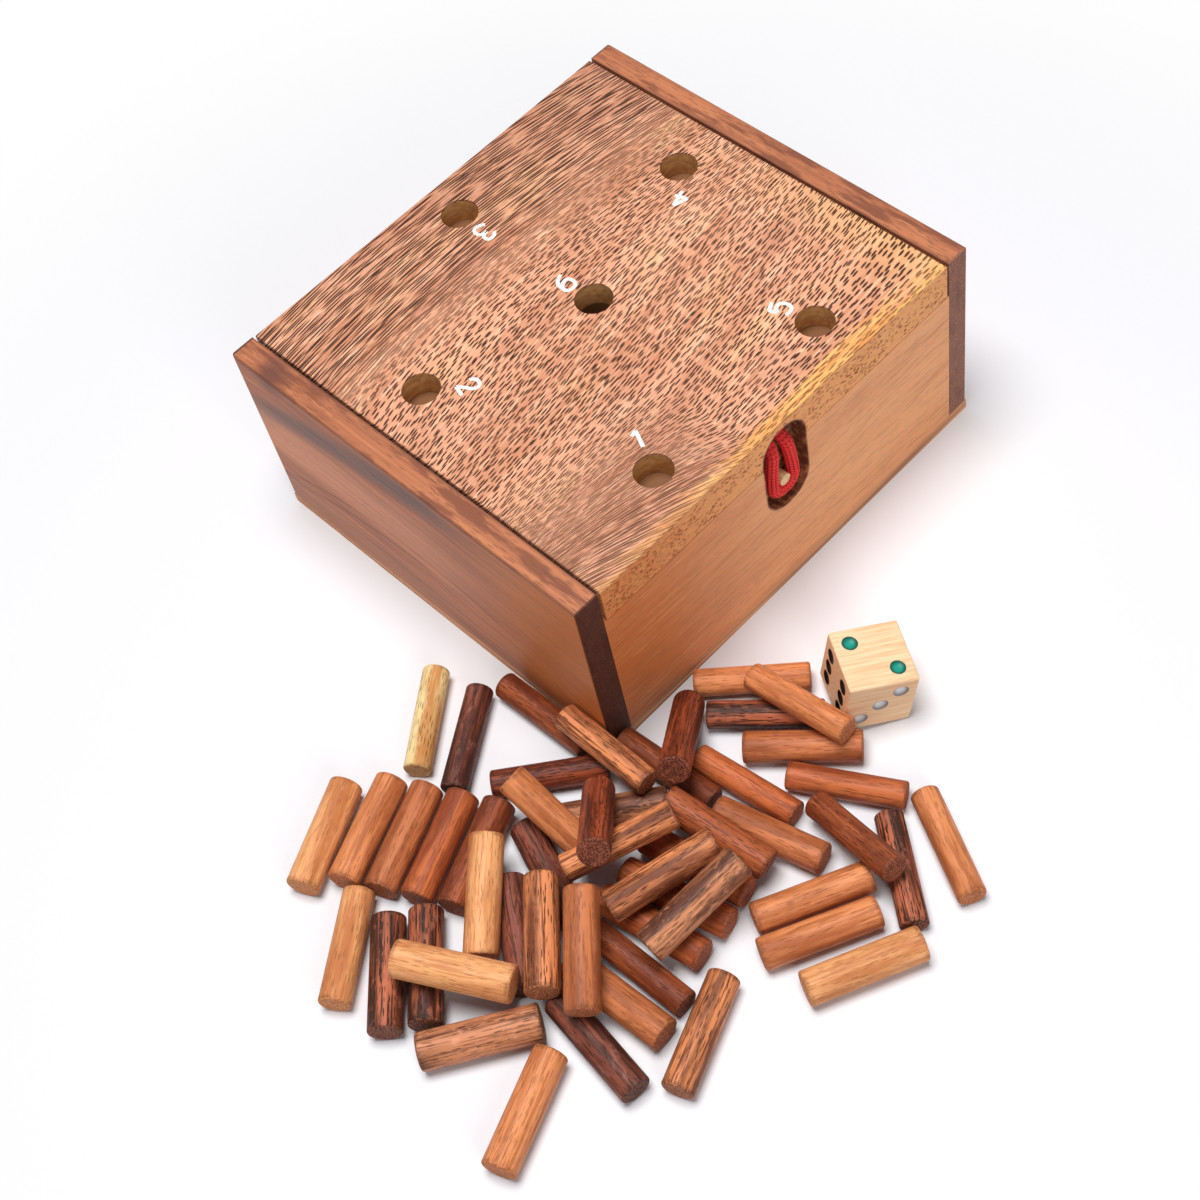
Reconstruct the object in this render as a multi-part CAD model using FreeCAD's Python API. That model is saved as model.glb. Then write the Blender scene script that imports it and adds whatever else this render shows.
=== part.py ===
import FreeCAD, Part
import math
import os

# Dice game: a wooden box with six numbered peg holes in its hinged lid, a die, and the fifty pegs
# that lie in front of the box. Millimetres, +Z up, the clasp faces -Y.
# The origin is the middle of the box's underside, on the table.

Vector = FreeCAD.Vector

# Box
box_width = 120.0
box_depth = 107.5
box_height = 55.0
panel_thickness = 6.2
wall_thickness = 6.2
base_thickness = 3.0
panel_easing = 0.8

# Lid, which swings between the end panels
lid_thickness = 10.0
lid_gap_left = 0.8
lid_gap_right = 0.6
lid_rest_gap = 0.2
lid_swing_gap = 0.2
lid_easing = 0.5
lid_open_angle = 100.0

# Hinge pins, driven into the lid and turning in blind holes in the end panels
hinge_pin_diameter = 3.0
hinge_pin_in_lid = 8.0
hinge_pin_in_panel = 3.8
hinge_running_clearance = 0.05
hinge_end_clearance = 0.3

# Pegs, sawn from sticks of four thicknesses; a step measures their thicknesses and places
peg_length = 25.5
peg_step = peg_length / 51
slim = 12.4 * peg_step
medium = 14 * peg_step
large = 15 * peg_step
thick = 16 * peg_step
peg_easing = 0.6
peg_clearance = 0.2

# Peg holes in the lid: a pair near the front, a pair near the sides, one behind and one in the middle
hole_play = 0.7
hole_depth = 6.5
front_hole_inset = 12.2
front_hole_spread = 49.6
side_hole_inset = 12.8
side_hole_behind_middle = 12.6
rear_hole_inset = 10.8
middle_hole_off = 0.6

# Clasp: an elastic loop from the lid, held by a pin in a recess that the lid and front wall share
recess_width = 13.0
recess_height = 25.5
recess_depth = 4.0
recess_below_top = 2.2
recess_off_middle = 0.5
clasp_pin_diameter = 3.0
clasp_pin_above_recess_end = 7.1
clasp_pin_setback = 0.8
cord_diameter = 2.9
cord_hole_play = 0.2
cord_hole_depth = 10.0
cord_hole_floor = 1.0
cord_leg_gap = 0.1
cord_bend_radius = 2.9
cord_off_recess = 0.9
cord_off_pin = 0.15

# Die
die_edge = 15.4
die_easing = 0.5
die_tilt = 10.0
die_heading = -31.5
die_across = 101 * peg_step
die_forward = 73 * peg_step
die_gap = 0.25
die_slide_step = 0.25
die_run_up = 7.5
pip_diameter = 3.4
pip_depth = 0.6
pip_spacing = 4.0

# Levels and faces that the pieces share
half_width = box_width / 2
half_depth = box_depth / 2
inner_half_width = half_width - panel_thickness
lid_left = lid_gap_left - inner_half_width
lid_right = inner_half_width - lid_gap_right
lid_underside = box_height - lid_thickness
hinge_radius = lid_thickness / 2
hinge_y = half_depth - hinge_radius
hinge_z = box_height - hinge_radius
recess_top = box_height - recess_below_top
recess_floor = recess_depth - half_depth
clasp_pin_z = recess_top - recess_height + clasp_pin_above_recess_end
front_left_x = -half_width
front_left_y = -half_depth
same_place = 0.01


def block(x_range, y_range, z_range):
    """A box between two values along each axis."""
    low = Vector(x_range[0], y_range[0], z_range[0])
    sizes = [high - start for start, high in (x_range, y_range, z_range)]
    return Part.makeBox(*sizes, low)


def extrude_along_x(outline, x_range):
    """A prism with the given YZ outline of edges."""
    wire = Part.Wire(outline)
    wire.translate(Vector(x_range[0], 0, 0))
    return Part.Face(wire).extrude(Vector(x_range[1] - x_range[0], 0, 0))


def line(start, end):
    return Part.LineSegment(start, end).toShape()


def arc(start, middle, end):
    return Part.Arc(start, middle, end).toShape()


def along_y(diameter, start, length):
    """A cylinder whose axis runs back from its start."""
    return Part.makeCylinder(diameter / 2, length, start, Vector(0, 1, 0))


def ease(solid, radius, wanted):
    """Round the straight edges whose middles are wanted."""
    return solid.makeFillet(radius, [edge for edge in solid.Edges if wanted(edge.CenterOfMass)])


def base_board():
    return block((-half_width, half_width), (-half_depth, half_depth), (0, base_thickness))


def hinge_hole(inner_x, direction, depth, diameter):
    """A drilling along the hinge axis from an upright face."""
    mouth = Vector(inner_x, hinge_y, hinge_z)
    return Part.makeCylinder(diameter / 2, depth, mouth, Vector(direction, 0, 0))


def end_panel(side):
    """An upright end of the box, side -1 for the left one, with its blind hinge hole."""
    inner = side * inner_half_width
    outer = side * half_width
    across = (min(inner, outer), max(inner, outer))
    panel = block(across, (-half_depth, half_depth), (base_thickness, box_height))
    panel = ease(
        panel,
        panel_easing,
        lambda p: abs(p.x - outer) < same_place and p.z > base_thickness + same_place,
    )
    bore = hinge_pin_diameter + 2 * hinge_running_clearance
    return panel.cut(hinge_hole(inner, side, hinge_pin_in_panel + hinge_end_clearance, bore))


def clasp_recess():
    """The round-ended hollow for the clasp, open to the front."""
    radius = recess_width / 2
    high = recess_top - radius
    low = recess_top - recess_height + radius
    left = recess_off_middle - radius
    right = recess_off_middle + radius
    front = -half_depth
    outline = [
        line(Vector(left, front, low), Vector(left, front, high)),
        arc(
            Vector(left, front, high),
            Vector(recess_off_middle, front, recess_top),
            Vector(right, front, high),
        ),
        line(Vector(right, front, high), Vector(right, front, low)),
        arc(
            Vector(right, front, low),
            Vector(recess_off_middle, front, recess_top - recess_height),
            Vector(left, front, low),
        ),
    ]
    return Part.Face(Part.Wire(outline)).extrude(Vector(0, recess_depth, 0))


def clasp_pin():
    start = Vector(recess_off_middle, clasp_pin_setback - half_depth, clasp_pin_z)
    return along_y(clasp_pin_diameter, start, wall_thickness - clasp_pin_setback)


def front_wall():
    wall = block(
        (-inner_half_width, inner_half_width),
        (-half_depth, wall_thickness - half_depth),
        (base_thickness, lid_underside - lid_rest_gap),
    )
    return wall.cut(clasp_recess()).cut(clasp_pin())


def rear_wall():
    """Its sloping top stops the opened lid, whose rear face comes down on it."""
    lean = math.radians(lid_open_angle - 90)
    inner = half_depth - wall_thickness
    level = hinge_z - (hinge_radius + lid_swing_gap) / math.cos(lean)

    def top(y):
        return level - math.tan(lean) * (y - hinge_y)

    corners = [
        Vector(0, inner, base_thickness),
        Vector(0, half_depth, base_thickness),
        Vector(0, half_depth, top(half_depth)),
        Vector(0, inner, top(inner)),
    ]
    outline = [line(a, b) for a, b in zip(corners, corners[1:] + corners[:1])]
    return extrude_along_x(outline, (-inner_half_width, inner_half_width))


def peg_holes():
    """Six drillings down from the lid's top: five stop inside the lid, the middle one goes through."""
    front = front_hole_inset - half_depth
    left = lid_left + side_hole_inset
    right = lid_right - side_hole_inset
    places = [
        (-front_hole_spread / 2, front),
        (left, side_hole_behind_middle),
        (0, half_depth - rear_hole_inset),
        (right, side_hole_behind_middle),
        (front_hole_spread / 2, front),
        (middle_hole_off, middle_hole_off),
    ]
    depths = [hole_depth] * (len(places) - 1) + [lid_thickness]
    radius = (thick + hole_play) / 2
    return [
        Part.makeCylinder(radius, depth, Vector(x, y, box_height - depth))
        for (x, y), depth in zip(places, depths)
    ]


def cord_hole_z():
    return lid_underside + cord_hole_floor + cord_hole_diameter() / 2


def cord_hole_diameter():
    return 2 * cord_diameter + cord_leg_gap + cord_hole_play


def lid():
    """A board whose lower rear edge is rounded about the hinge axis, so that it can swing."""
    front = -half_depth
    slant = hinge_radius * math.sqrt(0.5)
    start = Vector(0, hinge_y, lid_underside)
    middle = Vector(0, hinge_y + slant, hinge_z - slant)
    end = Vector(0, half_depth, hinge_z)
    rear_top = Vector(0, half_depth, box_height)
    front_top = Vector(0, front, box_height)
    front_low = Vector(0, front, lid_underside)
    outline = [
        arc(start, middle, end),
        line(end, rear_top),
        line(rear_top, front_top),
        line(front_top, front_low),
        line(front_low, start),
    ]
    board = extrude_along_x(outline, (lid_left, lid_right))
    board = ease(board, lid_easing, lambda p: abs(p.z - box_height) < same_place)
    mouth = Vector(recess_off_middle, recess_floor, cord_hole_z())
    cuts = peg_holes()
    cuts.append(clasp_recess())
    cuts.append(along_y(cord_hole_diameter(), mouth, cord_hole_depth))
    cuts.append(hinge_hole(lid_left, 1, hinge_pin_in_lid, hinge_pin_diameter))
    cuts.append(hinge_hole(lid_right, -1, hinge_pin_in_lid, hinge_pin_diameter))
    return board.cut(cuts).Solids[0]


def hinge_pins():
    """Two pins, each from the bottom of its hole in the lid to its hole in the end panel."""
    left = hinge_hole(
        lid_left + hinge_pin_in_lid,
        -1,
        hinge_pin_in_lid + lid_gap_left + hinge_pin_in_panel,
        hinge_pin_diameter,
    )
    right = hinge_hole(
        lid_right - hinge_pin_in_lid,
        1,
        hinge_pin_in_lid + lid_gap_right + hinge_pin_in_panel,
        hinge_pin_diameter,
    )
    return Part.makeCompound([left, right])


def clasp_cord():
    """The elastic loop: two legs leave the lid side by side, bend down and go round the clasp pin."""
    loop_y = recess_floor - cord_off_recess - cord_diameter / 2
    round_pin = clasp_pin_diameter / 2 + cord_off_pin + cord_diameter / 2
    leg_offset = (cord_diameter + cord_leg_gap) / 2
    pin = Vector(0, loop_y, clasp_pin_z)
    inner_end = Vector(-leg_offset, recess_floor + cord_hole_depth, cord_hole_z())
    corner = Vector(-leg_offset, loop_y, cord_hole_z())

    # The left leg runs from the bend straight to where it touches the circle round the pin
    reach = corner.sub(pin)
    turn = math.atan2(reach.z, reach.x) + math.acos(round_pin / reach.Length)
    touch = pin.add(Vector(math.cos(turn), 0, math.sin(turn)).multiply(round_pin))
    down = touch.sub(corner).normalize()
    back = Vector(0, 1, 0)
    bend_start = corner + back * cord_bend_radius
    bend_end = corner + down * cord_bend_radius
    bend_middle = corner + (back + down) * (cord_bend_radius * (1 - math.sqrt(0.5)))
    left = [inner_end, bend_start, bend_middle, bend_end, touch]
    right = [Vector(-p.x, p.y, p.z) for p in left]
    left = [p + Vector(recess_off_middle, 0, 0) for p in left]
    right = [p + Vector(recess_off_middle, 0, 0) for p in right]
    lowest = Vector(recess_off_middle, loop_y, clasp_pin_z - round_pin)
    path = Part.Wire([
        line(left[0], left[1]),
        arc(left[1], left[2], left[3]),
        line(left[3], left[4]),
        arc(left[4], lowest, right[4]),
        line(right[4], right[3]),
        arc(right[3], right[2], right[1]),
        line(right[1], right[0]),
    ])
    section = Part.Wire(Part.makeCircle(cord_diameter / 2, left[0], back))
    cord = path.makePipeShell([section], True, False)
    plain = path.Length * math.pi * cord_diameter ** 2 / 4
    print(f"cord: radii {cord_bend_radius} and {round_pin:.2f}, length {path.Length:.1f}")
    print(f"cord: volume {cord.Volume:.1f}, section times length {plain:.1f}")
    return cord


class Peg:
    """One peg: its place in plan from the box's front left corner, then its height and tilt at rest."""

    def __init__(self, across, forward, heading, diameter):
        self.x = front_left_x + across * peg_step
        self.y = front_left_y - forward * peg_step
        self.heading = math.radians(heading)
        self.radius = diameter / 2
        self.z = self.radius
        self.tilt = 0.0

    def keep_off_box(self):
        """Push a peg that would reach under the box out by the shorter way, left or forward."""
        along = abs(math.cos(self.heading))
        aside = abs(math.sin(self.heading))
        right_end = self.x + along * peg_length / 2 + aside * self.radius
        rear_end = self.y + aside * peg_length / 2 + along * self.radius
        too_far_right = right_end + peg_clearance - front_left_x
        too_far_back = rear_end + peg_clearance - front_left_y
        if too_far_right > 0 and too_far_back > 0:
            if too_far_right < too_far_back:
                self.x -= too_far_right
            else:
                self.y -= too_far_back

    def half_span(self):
        """Half of the length that the tilted peg covers in plan."""
        return peg_length / 2 * math.cos(self.tilt) + self.radius * abs(math.sin(self.tilt))

    def plan_point(self, along, aside):
        c = math.cos(self.heading)
        s = math.sin(self.heading)
        return self.x + along * c - aside * s, self.y + along * s + aside * c

    def plan_axis(self):
        start = Vector(*self.plan_point(-self.half_span(), 0), 0)
        end = Vector(*self.plan_point(self.half_span(), 0), 0)
        return line(start, end)

    def top_over(self, x, y):
        """Height of the peg's upper side over a plan point, below the table where the peg isn't."""
        c = math.cos(self.heading)
        s = math.sin(self.heading)
        along = (x - self.x) * c + (y - self.y) * s
        aside = (y - self.y) * c - (x - self.x) * s
        if abs(along) > self.half_span() or abs(aside) >= self.radius:
            return -peg_length
        rise = math.sqrt(self.radius ** 2 - aside ** 2) / math.cos(self.tilt)
        return self.z + math.tan(self.tilt) * along + rise

    def needed_heights(self, below, stations=53, flanks=25):
        """How high the axis has to be at stations along it, to clear the table and the pegs below."""
        needed = []
        for i in range(stations):
            along = self.half_span() * (2 * i / (stations - 1) - 1)
            height = self.radius / math.cos(self.tilt)
            for k in range(flanks):
                angle = math.pi * (k / (flanks - 1) - 0.5)
                x, y = self.plan_point(along, self.radius * math.sin(angle))
                hang = self.radius * math.cos(angle) / math.cos(self.tilt)
                tops = [other.top_over(x, y) for other in below]
                height = max([height] + [top + hang + peg_clearance for top in tops])
            needed.append((along, height))
        return needed

    def drop(self, placed, passes=3):
        """Lower the peg until it lies on the two supports that have its middle between them."""
        axis = self.plan_axis()
        below = [
            other
            for other in placed
            if axis.distToShape(other.plan_axis())[0] < self.radius + other.radius + peg_clearance
        ]
        for _ in range(passes if below else 0):
            supports = upper_hull(self.needed_heights(below))
            for (s0, z0), (s1, z1) in zip(supports, supports[1:]):
                if s0 <= 0 <= s1:
                    slope = (z1 - z0) / (s1 - s0)
                    height = z0 - slope * s0
            self.z = height
            self.tilt = math.atan(slope)

    def solid(self):
        """A round stick with eased ends, turned and tilted into its place."""
        stick = Part.makeCylinder(self.radius, peg_length, Vector(-peg_length / 2, 0, 0), Vector(1, 0, 0))
        rims = [edge for edge in stick.Edges if edge.Closed and len(edge.Vertexes) == 1]
        stick = stick.makeFillet(peg_easing, rims)
        stick.rotate(Vector(0, 0, 0), Vector(0, 1, 0), -math.degrees(self.tilt))
        stick.rotate(Vector(0, 0, 0), Vector(0, 0, 1), math.degrees(self.heading))
        stick.translate(Vector(self.x, self.y, self.z))
        return stick


def upper_hull(points):
    """The points of a left-to-right line that a taut string over it would touch."""
    hull = []
    for point in points:
        while len(hull) > 1:
            (s0, z0), (s1, z1) = hull[-2:]
            if (s1 - s0) * (point[1] - z0) < (z1 - z0) * (point[0] - s0):
                break
            hull.pop()
        hull.append(point)
    return hull


def row(count, first, step, heading, diameter):
    """Pegs that lie side by side: (across, forward) of the first and from each to the next."""
    return [
        (first[0] + i * step[0], first[1] + i * step[1], heading, diameter)
        for i in range(count)
    ]


def peg_places():
    """Where the pegs lie, those on the table first: (across, forward) of the box's front left corner
    in peg steps, the heading of the nearer end, and the thickness."""
    beside_box = [
        (-44, -72, -143, slim),
        (-39, -51, -147, slim),
        (-8, -33, -88, slim),
        (-28, -10, -40, slim),
    ]
    far_left = [(-112, -64, -154, large)] + row(4, (-98, -51), (7.6, 14.8), -157, large)
    left_end = [
        (-140, -18, -144, medium),
        (-137, 4, -134, large),
        (-124, 14, -133, large),
        (-130, 53, -34, thick),
        (-139, 88, -159, large),
    ]
    by_the_die = [
        (63, 25, -46, slim),
        (54, 41, -49, slim),
        (52, 64, -49, medium),
        (50, 90, -61, slim),
    ]
    in_front = [
        (7, 27, -86, slim),
        (23, 58, -83, slim),
        (12, 81, -76, medium),
        (35, 132, -128, slim),
        (56, 139, -118, slim),
    ]
    near_row = row(2, (2, 113), (-9.6, 12.4), -27, medium) + [(-7, 148, -26, large)]
    middle = [
        (-89, 32, -127, medium),
        (-61, 23, -110, medium),
        (-24, 22, -39, medium),
    ]
    inner_row = [
        (-18, 67, -80, medium),
        (-34, 71, -77, medium),
        (-50, 72, -80, medium),
        (-66, 80, -88, slim),
        (-82, 83, -86, large),
        (-101, 90, -97, medium),
        (-70, 118, -159, medium),
    ]
    on_top = [
        (-45, 13, -87, medium),
        (-7, 6, -91, slim),
        (-4, 67, -81, medium),
        (18, 27, -142, medium),
        (62, 54, -85, slim),
        (31, 111, -98, slim),
        (-88, 14, -139, large),
        (-120, 31, -61, thick),
        (-36, 43, -25, slim),
        (-35, 66, -17, medium),
        (-36, 85, -6, large),
        (-85, 46, -134, large),
        (-80, 65, -136, large),
        (-38, 34, -133, medium),
    ]
    return (
        beside_box + far_left + left_end + by_the_die + in_front + near_row + middle + inner_row + on_top
    )


def pegs():
    """All pegs, each dropped on the table and on those that lie there already."""
    placed = []
    for place in peg_places():
        peg = Peg(*place)
        peg.keep_off_box()
        peg.drop(placed)
        placed.append(peg)
    return placed


def pip_places(count):
    """Places of the pips on a face, in pip spacings."""
    corners = [(-1, 1), (1, -1), (1, 1), (-1, -1)]
    sides = [(-1, 0), (1, 0)] if count == 6 else []
    middle = [(0, 0)] if count % 2 else []
    return corners[: count - len(sides) - len(middle)] + sides + middle


def die_pips():
    """Shallow round hollows, one to six on the six faces, for a cube about the origin."""
    x = Vector(1, 0, 0)
    y = Vector(0, 1, 0)
    z = Vector(0, 0, 1)
    faces = {1: (x, y, z), 2: (z, x, y), 3: (-y, -x, z), 4: (y, x, z), 5: (-z, x, y), 6: (-x, y, z)}
    ball = ((pip_diameter / 2) ** 2 + pip_depth ** 2) / (2 * pip_depth)
    pips = []
    for count, (out, across, up) in faces.items():
        for a, b in pip_places(count):
            middle = out * (die_edge / 2 + ball - pip_depth) + (across * a + up * b) * pip_spacing
            pips.append(Part.makeSphere(ball, middle))
    return pips


def place_die(cube, slide):
    """Lean the cube on its lower right edge, set that edge on the table and slide it to the right."""
    cube.translate(Vector(-die_edge / 2, 0, die_edge / 2))
    cube.rotate(Vector(0, 0, 0), Vector(0, 1, 0), die_tilt)
    cube.translate(Vector(slide, 0, 0))
    cube.rotate(Vector(0, 0, 0), Vector(0, 0, 1), die_heading)
    cube.translate(Vector(front_left_x + die_across, front_left_y - die_forward, 0))
    return cube


def die(peg_solids):
    """The die leans against the pegs on its left, and clears them."""
    half = die_edge / 2
    cube = Part.makeBox(die_edge, die_edge, die_edge, Vector(-half, -half, -half))
    pile = Part.makeCompound(peg_solids)
    slide = -die_run_up
    while place_die(cube.copy(), slide).distToShape(pile)[0] < die_gap:
        slide += die_slide_step
    eased = cube.makeFillet(die_easing, cube.Edges)
    return place_die(eased.cut(die_pips()).Solids[0], slide)


parts = {
    "left_end_panel": end_panel(-1),
    "right_end_panel": end_panel(1),
    "front_wall": front_wall(),
    "rear_wall": rear_wall(),
    "base_board": base_board(),
    "lid": lid(),
    "hinge_pins": hinge_pins(),
    "clasp_pin": clasp_pin(),
    "clasp_cord": clasp_cord(),
}
heap = pegs()
peg_solids = [peg.solid() for peg in heap]
parts["die"] = die(peg_solids)
for number, solid in enumerate(peg_solids, 1):
    parts[f"peg_{number:02d}"] = solid

os.makedirs("parts", exist_ok=True)
for name, shape in parts.items():
    shape.exportStep(f"parts/{name}.step")
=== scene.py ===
# %% [markdown]
# # A wooden dice game
# The game is a small box of oiled tropical wood. Six numbered holes in its hinged lid take round pegs, a
# red elastic loop keeps the lid shut, and a pale die and fifty pegs lie in front of it. The construction
# comes as a finished frame of named nodes. This lesson adds what a frame can't hold: the camera and the
# light, the knitted cord, the painted numerals, and a wood for every board and peg.

# %% Load the frame
import math

import bmesh
import bpy
import numpy as np
from mathutils import Matrix, Vector


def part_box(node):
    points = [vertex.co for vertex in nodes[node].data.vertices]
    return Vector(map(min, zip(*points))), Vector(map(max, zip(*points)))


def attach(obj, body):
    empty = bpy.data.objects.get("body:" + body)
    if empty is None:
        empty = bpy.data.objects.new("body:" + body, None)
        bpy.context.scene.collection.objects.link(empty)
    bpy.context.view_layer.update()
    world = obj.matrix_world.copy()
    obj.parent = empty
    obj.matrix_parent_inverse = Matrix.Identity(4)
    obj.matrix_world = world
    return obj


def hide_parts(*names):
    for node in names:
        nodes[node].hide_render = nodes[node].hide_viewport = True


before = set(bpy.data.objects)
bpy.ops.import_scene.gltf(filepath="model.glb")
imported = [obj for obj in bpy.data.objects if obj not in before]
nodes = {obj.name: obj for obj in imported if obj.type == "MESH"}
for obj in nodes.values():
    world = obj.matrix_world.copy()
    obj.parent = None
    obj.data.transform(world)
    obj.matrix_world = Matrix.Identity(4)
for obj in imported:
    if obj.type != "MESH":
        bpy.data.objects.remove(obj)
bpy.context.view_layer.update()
MM = 0.001

# %% [markdown]
# ## Camera
# The picture looks down on the front left corner from above, with the camera rolled a little to one side.
# A camera is easiest to reason about as three unit vectors: back, from the target to the eye, then right
# and up. Their columns make the camera's turn, and rolling means turning right and up about back.

# %% Camera
view_azimuth = math.radians(-33.3)
view_elevation = math.radians(56.03)
view_roll = math.radians(-14.73)
view_distance = 439.6 * MM
view_target = Vector((-41.2, -35.2, 20.0)) * MM

back = Vector((
    math.sin(view_azimuth) * math.cos(view_elevation),
    -math.cos(view_azimuth) * math.cos(view_elevation),
    math.sin(view_elevation),
))
level_right = Vector((0, 0, 1)).cross(back).normalized()
level_up = back.cross(level_right)
right = level_right * math.cos(view_roll) + level_up * math.sin(view_roll)
up = level_up * math.cos(view_roll) - level_right * math.sin(view_roll)

camera_data = bpy.data.cameras.new("camera")
camera_data.sensor_width = 36.0
camera_data.lens = 61.04
camera_data.clip_start = 0.01
camera = bpy.data.objects.new("camera", camera_data)
turn = Matrix((right, up, back)).transposed().to_4x4()
camera.matrix_world = Matrix.Translation(view_target + back * view_distance) @ turn
bpy.context.scene.collection.objects.link(camera)
bpy.context.scene.camera = camera
bpy.context.scene.view_settings.view_transform = "Standard"
print("camera at", [round(v / MM) for v in camera.matrix_world.translation], "mm")

# %% [markdown]
# ## Shader maths as Python
# A wood is mostly arithmetic: stretch a noise along the grain, keep its darkest part, mix two colours by
# it. In the node editor that is dozens of boxes. One small class wraps an output socket, so that an
# expression such as 1 - mask adds its Math node by itself, and one method adds any other node.

# %% A socket that takes part in expressions
class Wire:
    """An output socket. Operators on it add Math nodes to its tree."""

    def __init__(self, socket):
        self.socket = socket

    def add(self, kind, settings, inputs, output=0):
        """A new node of any type: its settings first, then the values or wires of its inputs."""
        tree = self.socket.id_data
        node = tree.nodes.new(kind)
        for name, value in settings.items():
            setattr(node, name, value)
        for key, value in inputs.items():
            if isinstance(value, Wire):
                tree.links.new(value.socket, node.inputs[key])
            else:
                node.inputs[key].default_value = value
        return Wire(node.outputs[output])

    def math(self, operation, first, second=0.0):
        return self.add("ShaderNodeMath", {"operation": operation}, {0: first, 1: second})

    def __add__(self, other):
        return self.math("ADD", self, other)

    def __radd__(self, other):
        return self.math("ADD", other, self)

    def __sub__(self, other):
        return self.math("SUBTRACT", self, other)

    def __rsub__(self, other):
        return self.math("SUBTRACT", other, self)

    def __mul__(self, other):
        return self.math("MULTIPLY", self, other)

    def __rmul__(self, other):
        return self.math("MULTIPLY", other, self)

    def __abs__(self):
        return self.math("ABSOLUTE", self)


print("wire operators:", [name for name in vars(Wire) if name.startswith("__r")])


# %% Places, steps and mixes
def vector_math(place, operation, other, output="Vector"):
    return place.add("ShaderNodeVectorMath", {"operation": operation}, {0: place, 1: other}, output)


def parts_of(place):
    """The x, y and z of a place."""
    return [place.add("ShaderNodeSeparateXYZ", {}, {0: place}, axis) for axis in "XYZ"]


def place_of(x, y, z):
    return x.add("ShaderNodeCombineXYZ", {}, {"X": x, "Y": y, "Z": z})


def smooth(value, low, high):
    """0 below low, 1 above high and a soft step between; low may be the larger."""
    inputs = {"Value": value, "From Min": low, "From Max": high}
    return value.add("ShaderNodeMapRange", {"interpolation_type": "SMOOTHSTEP"}, inputs)


def blend(share, first, second):
    """Two colours mixed by a share from 0 to 1."""
    return share.add("ShaderNodeMix", {"data_type": "RGBA"}, {0: share, 6: first, 7: second}, 2)


def blend_values(share, first, second):
    """Two numbers mixed by a share from 0 to 1."""
    return first + share * (second - first)


print("mixes ready")


# %% Patterns
def noise(place, sizes, seed=0.0, detail=3.0, roughness=0.55):
    """Cloudy noise from 0 to 1 whose features have the given sizes along x, y and z, in millimetres."""
    scaled = vector_math(place, "DIVIDE", [size * MM for size in sizes])
    inputs = {"Vector": scaled, "W": seed, "Scale": 1.0, "Detail": detail, "Roughness": roughness}
    return place.add("ShaderNodeTexNoise", {"noise_dimensions": "4D"}, inputs)


def dashes(place, cell, dash, seed=0.0, space="3D"):
    """1 on dashes of the given length and widths, one in each cell of the given size, in millimetres."""
    scaled = vector_math(place, "DIVIDE", [size * MM for size in cell])
    moved = vector_math(scaled, "ADD", (3.7 * seed, 5.3 * seed, 7.1 * seed))
    inputs = {"Vector": moved, "Scale": 1.0, "Randomness": 0.8}
    nearest = place.add("ShaderNodeTexVoronoi", {"voronoi_dimensions": space}, inputs, "Position")
    offset = vector_math(moved, "SUBTRACT", nearest)
    shares = [2 * size / length for size, length in zip(cell, dash)]
    if space == "2D":
        shares[2] = 0.0
    away = vector_math(vector_math(offset, "MULTIPLY", shares), "LENGTH", (0, 0, 0), "Value")
    return smooth(away, 1.2, 0.7)


print("patterns: noise and dashes")


# %% Colours and finishes
def rgb(red, green, blue):
    return (red, green, blue, 1.0)


def shade_of(colour, share):
    """A colour made darker, or lighter by a share above 1."""
    return rgb(*[share * v for v in colour[:3]])


soft_gloss = 0.22


class Finish:
    """A new material with its Principled shader, and the place on the surface in metres."""

    def __init__(self, name):
        self.material = bpy.data.materials.new(name)
        self.material.use_nodes = True
        tree = self.material.node_tree
        self.shader = tree.nodes["Principled BSDF"]
        self.place = Wire(tree.nodes.new("ShaderNodeTexCoord").outputs["Object"])

    def local(self, centre, rotation):
        """The place measured from a piece's own centre and along its own axes."""
        inputs = {"Vector": self.place, "Location": centre, "Rotation": rotation}
        return self.place.add("ShaderNodeMapping", {"vector_type": "TEXTURE"}, inputs)

    def surface(self, colour, roughness, height, relief):
        """Link the varying colour and roughness, and a height that stands as many millimetres proud."""
        links = self.material.node_tree.links
        links.new(colour.socket, self.shader.inputs["Base Color"])
        links.new(roughness.socket, self.shader.inputs["Roughness"])
        bump = colour.add("ShaderNodeBump", {}, {"Height": height, "Distance": relief * MM, "Strength": 1.0})
        links.new(bump.socket, self.shader.inputs["Normal"])
        self.shader.inputs["Specular IOR Level"].default_value = soft_gloss
        return self.material


def dress(node, material):
    """Give a frame node its finish in place of its plain one."""
    slots = nodes[node].data.materials
    slots.clear()
    slots.append(material)


print("finishes ready, gloss", soft_gloss)

# %% [markdown]
# ## Lid
# The lid is a wood with wide open pores: thousands of short dark dashes that follow the grain. The grain
# leans a little across the board, and straightens along the front edge, where a band of yellow sapwood
# runs. A flat pattern would stretch on the board's edges, so this one is solid. Every cell of a stretched
# grid holds one dash of a given length and width, and the same dashes, made a little wider, give the warm
# stain round each pore.

# %% Sizes of the box that its finishes use
box_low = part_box("base_board")[0]
lid_low, lid_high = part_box("lid")
top = lid_high.z
front = lid_low.y
hole_radius = 4.35 * MM
hole_depth = 6.5 * MM
through_hole = 6
hole_places = {
    1: (-24.8, -41.55),
    2: (-40.2, 12.6),
    3: (0.0, 42.95),
    4: (40.4, 12.6),
    5: (24.8, -41.55),
    6: (0.6, 0.6),
}
clasp_x = 0.5 * MM
clasp_low_z = 33.8 * MM
clasp_high_z = 46.3 * MM
clasp_radius = 6.5 * MM
clasp_depth = 4.0 * MM
print("lid top at", round(top / MM, 1), "front at", round(front / MM, 1))


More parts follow.
